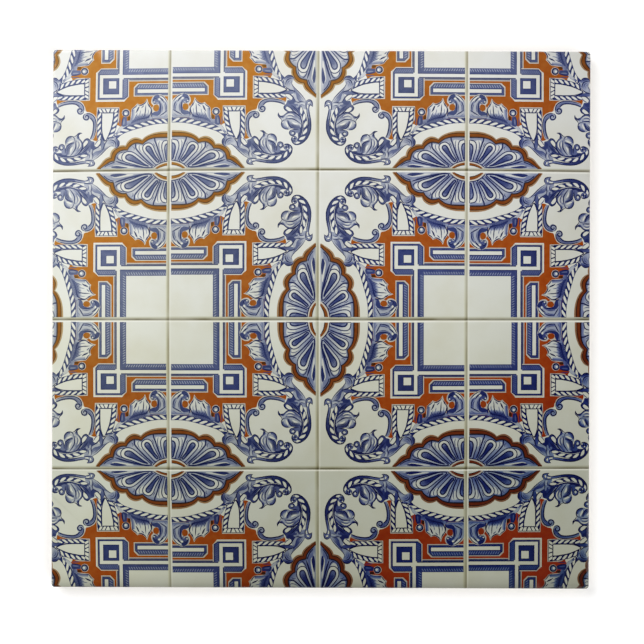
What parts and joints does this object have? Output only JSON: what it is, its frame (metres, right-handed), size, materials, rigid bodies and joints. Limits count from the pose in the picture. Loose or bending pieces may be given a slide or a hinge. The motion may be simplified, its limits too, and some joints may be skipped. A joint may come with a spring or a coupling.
{
  "type": "printed azulejo ceramic tile",
  "caption": "Square glazed ceramic wall tile, its flat face printed with a blue, white and orange azulejo pattern, with an eased arris, bevelled edges and a keyed back for adhesive.",
  "frame": {"origin": "middle of the back, on the plane of the back's ribs", "axes": "+Z is the normal of the glazed face, +X runs to the right of its picture, +Y to the picture's top"},
  "size_m": [0.152, 0.152, 0.006],
  "materials": {
    "glazed_tile": "gloss glaze over a printed face, bare biscuit back"
  },
  "bodies": {
    "root": {"tile": "glazed_tile"}
  },
  "joints": []
}
